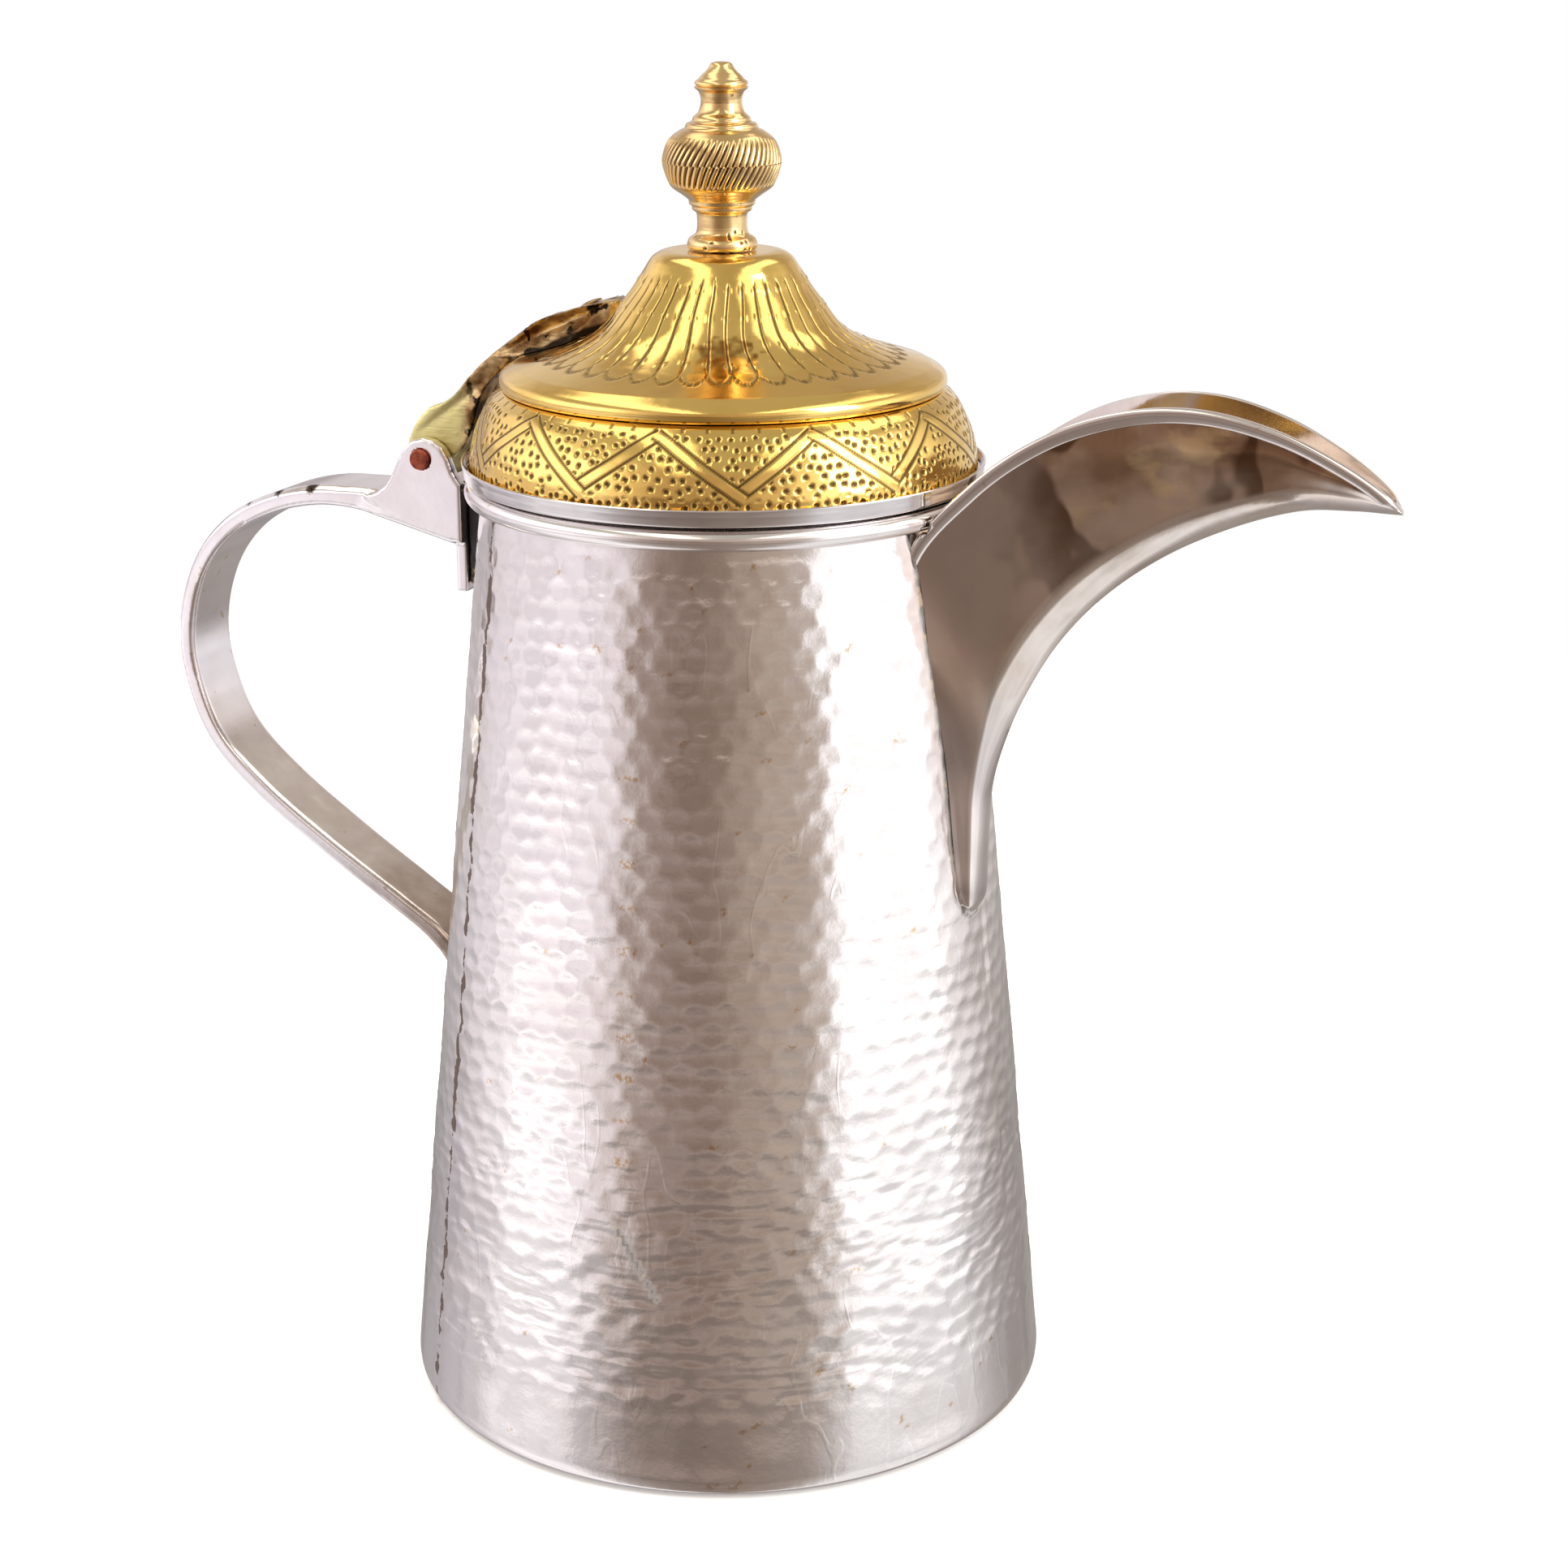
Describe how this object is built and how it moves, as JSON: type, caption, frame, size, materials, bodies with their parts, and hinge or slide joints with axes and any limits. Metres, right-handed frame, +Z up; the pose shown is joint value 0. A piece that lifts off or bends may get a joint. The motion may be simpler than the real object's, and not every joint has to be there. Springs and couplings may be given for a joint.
{
  "type": "dallah coffee pot",
  "caption": "Tall tapered metal coffee pot with a crescent spout, a cast strap handle and a raised brass lid that opens on a hinge pin.",
  "frame": {"origin": "centre of the base, on the surface the pot stands on", "axes": "+Z up, +X towards the spout, the handle towards -X, the hinge pin along Y"},
  "size_m": [0.29, 0.1484, 0.3001],
  "materials": {
    "hammered_plate": "silver-coloured plate over hammered sheet, polished, lightly worn",
    "silver_plate": "smooth silver-coloured plate, polished",
    "cast_plate": "silver-coloured plate over filed cast brass",
    "solder_brass": "unpolished brass and solder, browned",
    "copper_pin": "bare copper, filed end",
    "lid_brass": "polished brass, engraved and punched",
    "aged_brass": "filed cast brass, browned"
  },
  "bodies": {
    "pot": {"body_shell": "hammered_plate", "base_disc": "hammered_plate", "rim_bead": "silver_plate", "spout_shell": "silver_plate", "spout_edge_left": "silver_plate", "spout_edge_right": "silver_plate", "handle": "cast_plate", "saddle_pad": "solder_brass", "hinge_pin": "copper_pin"},
    "lid": {"lid_ring": "silver_plate", "lid_collar": "silver_plate", "lid_dome": "lid_brass", "lid_strap": "aged_brass", "strap_rivet_1": "aged_brass", "strap_rivet_2": "aged_brass", "finial": "lid_brass", "finial_stud": "aged_brass", "finial_washer": "aged_brass", "finial_nut": "aged_brass"}
  },
  "joints": [
    {"name": "lid_hinge", "type": "hinge", "parent": "pot", "child": "lid", "pos_m": [-0.0705, 0, 0.2113], "axis": [0, -1, 0], "range_deg": [0, 105]}
  ]
}
